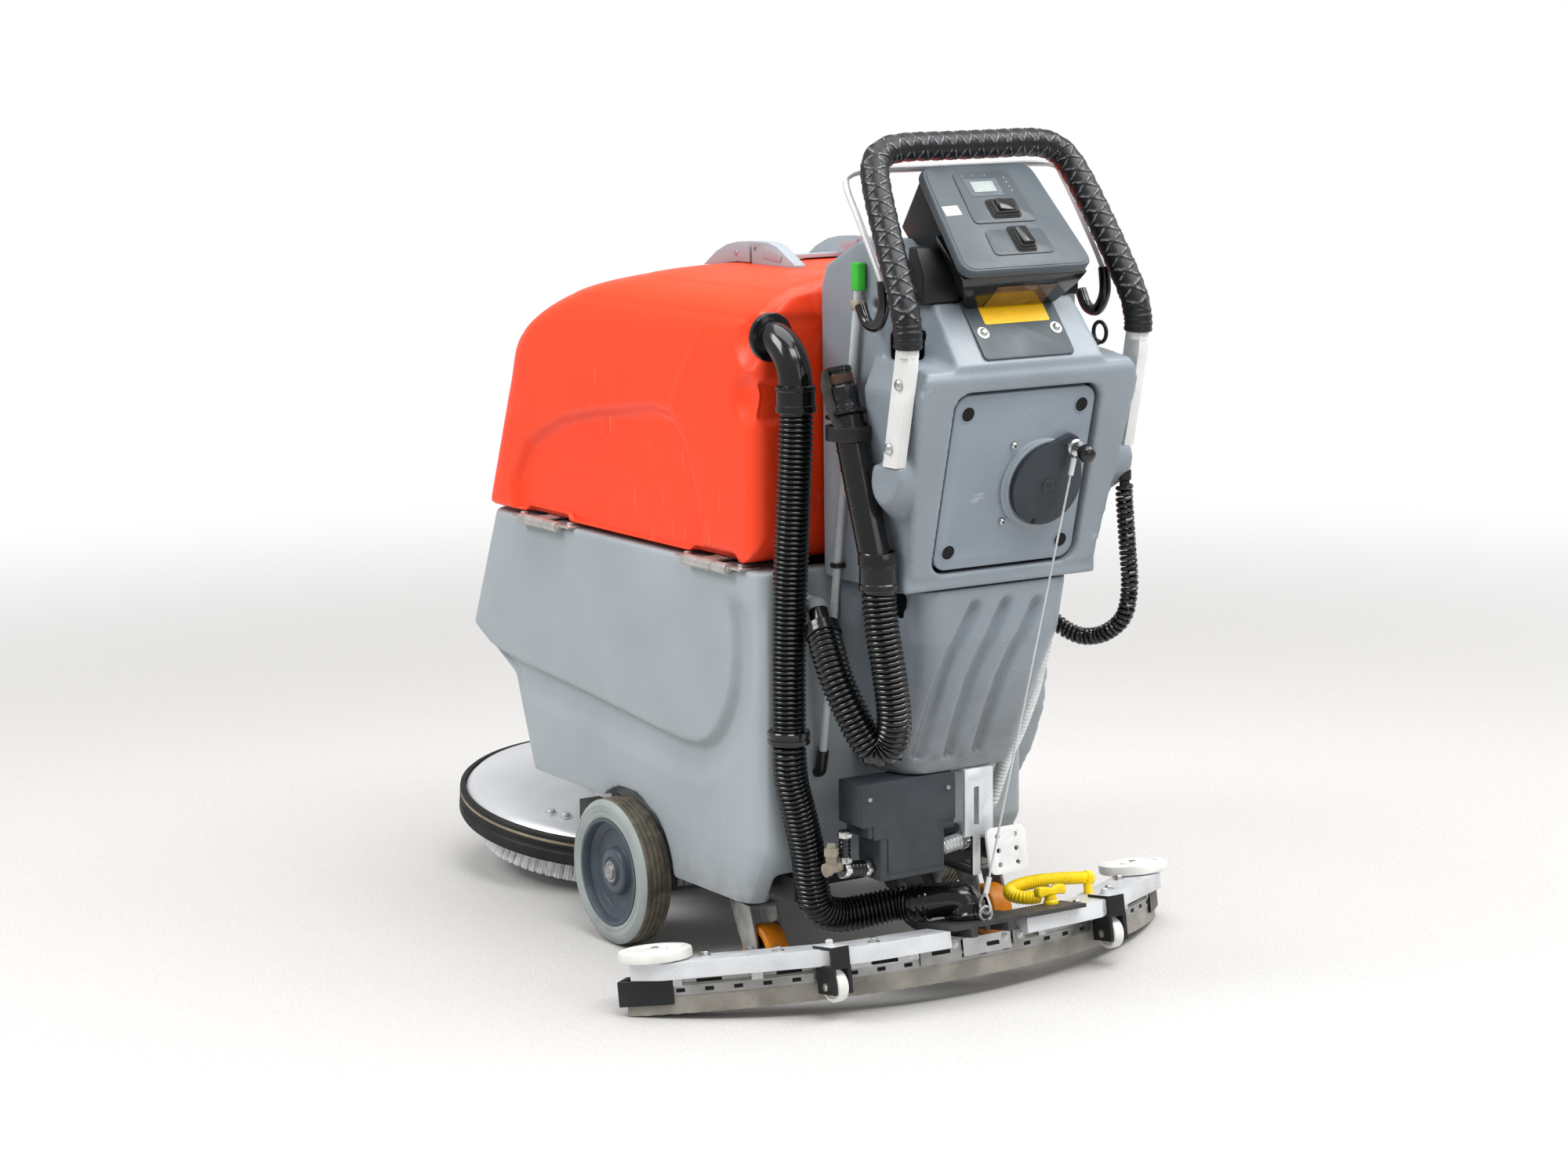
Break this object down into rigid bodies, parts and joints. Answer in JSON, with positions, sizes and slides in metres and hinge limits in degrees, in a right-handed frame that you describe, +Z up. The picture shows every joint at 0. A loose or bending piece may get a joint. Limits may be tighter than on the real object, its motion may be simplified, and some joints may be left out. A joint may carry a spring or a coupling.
{
  "type": "wet dry floor scrubber",
  "caption": "Walk-behind wet dry floor scrubber with a grey lower tank, an orange tipping recovery tank, a disc brush deck and a curved rear squeegee.",
  "frame": {"origin": "on the floor under the middle of the machine's bounding box", "axes": "+X to the operator's right, +Y forward towards the brush deck, +Z up"},
  "size_m": [0.864, 1.277, 1.098],
  "materials": {
    "frame_steel": "satin black paint",
    "grey_tank": "fine grain",
    "orange_tank": "semi gloss",
    "black_plastic": "satin",
    "dark_panel": "fine grain",
    "white_paint": "satin",
    "steel": "plain",
    "aluminium": "satin",
    "black_rubber": "matte",
    "blade_rubber": "translucent",
    "grey_tyre": "matte",
    "hub_plastic": "satin",
    "orange_tread": "matte",
    "bristle": "tufts",
    "white_plastic": "worn",
    "yellow_plastic": "plain",
    "clear_tube": "transparent"
  },
  "bodies": {
    "chassis": {"chassis_frame": "frame_steel", "solution_tank": "grey_tank", "rear_tank": "grey_tank", "rear_housing": "grey_tank", "access_door": "grey_tank", "screws": "steel", "console_neck": "black_plastic", "control_panel": "dark_panel", "handle_frame": "white_paint", "handle_grip": "black_rubber", "batteries": "black_plastic", "suction_motor": "black_plastic", "valve_box": "dark_panel", "level_gauge": "clear_tube", "hose_clip": "black_plastic", "hose_coupling": "black_plastic", "drain_hose": "black_plastic", "drain_nozzle": "black_plastic", "coiled_cable": "black_rubber", "clear_hoses": "clear_tube", "hinge_leaves": "steel", "suction_hose_upper": "black_plastic", "suction_hose_lower": "black_plastic", "deck_spring": "steel"},
    "recovery": {"recovery_tank": "orange_tank", "hinge_straps": "steel", "tank_elbow": "black_plastic", "lid_hinge_base": "grey_tank"},
    "lid": {"tank_lid": "grey_tank"},
    "bail": {"bail": "steel"},
    "upper_switch": {"upper_switch": "black_rubber"},
    "lower_switch": {"lower_switch": "black_rubber"},
    "left_wheel": {"left_tyre": "grey_tyre", "left_hub": "hub_plastic"},
    "right_wheel": {"right_tyre": "grey_tyre", "right_hub": "hub_plastic"},
    "left_caster": {"left_caster_fork": "steel"},
    "left_caster_wheel": {"left_caster_wheel": "orange_tread"},
    "right_caster": {"right_caster_fork": "steel"},
    "right_caster_wheel": {"right_caster_wheel": "orange_tread"},
    "deck": {"deck_arms": "aluminium", "brush_deck": "aluminium", "deck_bumper": "black_rubber", "brush_motor": "black_plastic"},
    "brush": {"brush_disc": "white_plastic", "bristles": "bristle"},
    "squeegee": {"squeegee_arm": "frame_steel", "squeegee_frame": "aluminium", "blade_channel": "steel", "squeegee_blades": "blade_rubber", "squeegee_end_caps": "black_plastic", "suction_port": "black_plastic", "hand_knobs": "yellow_plastic"},
    "left_bumper_disc": {"left_bumper_disc": "white_plastic"},
    "right_bumper_disc": {"right_bumper_disc": "white_plastic"},
    "left_support_wheel": {"left_support_wheel": "white_plastic"},
    "right_support_wheel": {"right_support_wheel": "white_plastic"},
    "lift_disc": {"lift_disc": "dark_panel"},
    "wire_rope": {"wire_rope": "steel"},
    "lift_pedal": {"lift_pedal": "white_plastic"}
  },
  "joints": [
    {"name": "tank_tip", "type": "hinge", "parent": "chassis", "child": "recovery", "pos_m": [-0.246, -0.01714, 0.549], "axis": [0, -1, 0], "range_deg": [0, 75], "deforming": ["suction_hose_upper"]},
    {"name": "lid", "type": "hinge", "parent": "recovery", "child": "lid", "pos_m": [0, -0.12114, 0.936], "axis": [1, 0, 0], "range_deg": [0, 75]},
    {"name": "squeegee_lift", "type": "hinge", "parent": "chassis", "child": "squeegee", "pos_m": [0, -0.32714, 0.14], "axis": [1, 0, 0], "range_deg": [0, 8.5], "deforming": ["suction_hose_lower"]},
    {"name": "disc_turn", "type": "hinge", "parent": "chassis", "child": "lift_disc", "pos_m": [0.043, -0.57196, 0.66627], "axis": [0, -0.9703, -0.2419], "range_deg": [-41.8, 0]},
    {"name": "rope_swing", "type": "hinge", "parent": "lift_disc", "child": "wire_rope", "pos_m": [0.07023, -0.58435, 0.71596], "axis": [0, -0.9703, -0.2419], "range_deg": [0, 39.6]},
    {"name": "deck_lift", "type": "hinge", "parent": "chassis", "child": "deck", "pos_m": [0, 0.13286, 0.11], "axis": [1, 0, 0], "range_deg": [-7, 0]},
    {"name": "pedal", "type": "hinge", "parent": "chassis", "child": "lift_pedal", "pos_m": [0.055, -0.36714, 0.165], "axis": [1, 0, 0], "range_deg": [-14, 0]},
    {"name": "brush_spin", "type": "hinge", "parent": "deck", "child": "brush", "pos_m": [0, 0.38507, 0.07447], "axis": [0, -0.1219, 0.9925], "continuous": true},
    {"name": "left_wheel_spin", "type": "hinge", "parent": "chassis", "child": "left_wheel", "pos_m": [-0.249, -0.01714, 0.1], "axis": [1, 0, 0], "continuous": true},
    {"name": "right_wheel_spin", "type": "hinge", "parent": "chassis", "child": "right_wheel", "pos_m": [0.249, -0.01714, 0.1], "axis": [1, 0, 0], "continuous": true},
    {"name": "left_caster_swivel", "type": "hinge", "parent": "chassis", "child": "left_caster", "pos_m": [-0.18, -0.24214, 0.1], "axis": [0, 0, 1], "continuous": true},
    {"name": "left_caster_spin", "type": "hinge", "parent": "left_caster", "child": "left_caster_wheel", "pos_m": [-0.18, -0.27014, 0.035], "axis": [1, 0, 0], "continuous": true},
    {"name": "right_caster_swivel", "type": "hinge", "parent": "chassis", "child": "right_caster", "pos_m": [0.18, -0.24214, 0.1], "axis": [0, 0, 1], "continuous": true},
    {"name": "right_caster_spin", "type": "hinge", "parent": "right_caster", "child": "right_caster_wheel", "pos_m": [0.18, -0.27014, 0.035], "axis": [1, 0, 0], "continuous": true},
    {"name": "left_bumper_spin", "type": "hinge", "parent": "squeegee", "child": "left_bumper_disc", "pos_m": [-0.382, -0.32869, 0.07552], "axis": [0, 0.1478, 0.989], "continuous": true},
    {"name": "right_bumper_spin", "type": "hinge", "parent": "squeegee", "child": "right_bumper_disc", "pos_m": [0.382, -0.32869, 0.07552], "axis": [0, 0.1478, 0.989], "continuous": true},
    {"name": "left_support_spin", "type": "hinge", "parent": "squeegee", "child": "left_support_wheel", "pos_m": [-0.217, -0.49004, 0.04453], "axis": [1, 0, 0], "continuous": true},
    {"name": "right_support_spin", "type": "hinge", "parent": "squeegee", "child": "right_support_wheel", "pos_m": [0.217, -0.49004, 0.04453], "axis": [1, 0, 0], "continuous": true},
    {"name": "bail_squeeze", "type": "hinge", "parent": "chassis", "child": "bail", "pos_m": [0, -0.48714, 0.892], "axis": [1, 0, 0], "range_deg": [0, 4], "stiffness_Nm_per_rad": 40},
    {"name": "upper_switch", "type": "hinge", "parent": "chassis", "child": "upper_switch", "pos_m": [0.005, -0.54001, 0.9997], "axis": [0, 0.6947, 0.7193], "range_deg": [0, 9]},
    {"name": "lower_switch", "type": "hinge", "parent": "chassis", "child": "lower_switch", "pos_m": [0.008, -0.57405, 0.96445], "axis": [1, 0, 0], "range_deg": [0, 9]}
  ],
  "couplings": [
    {"joint": "disc_turn", "follows": "squeegee_lift", "ratio": -4.897},
    {"joint": "rope_swing", "follows": "squeegee_lift", "ratio": 4.59},
    {"joint": "pedal", "follows": "deck_lift", "ratio": 2}
  ]
}
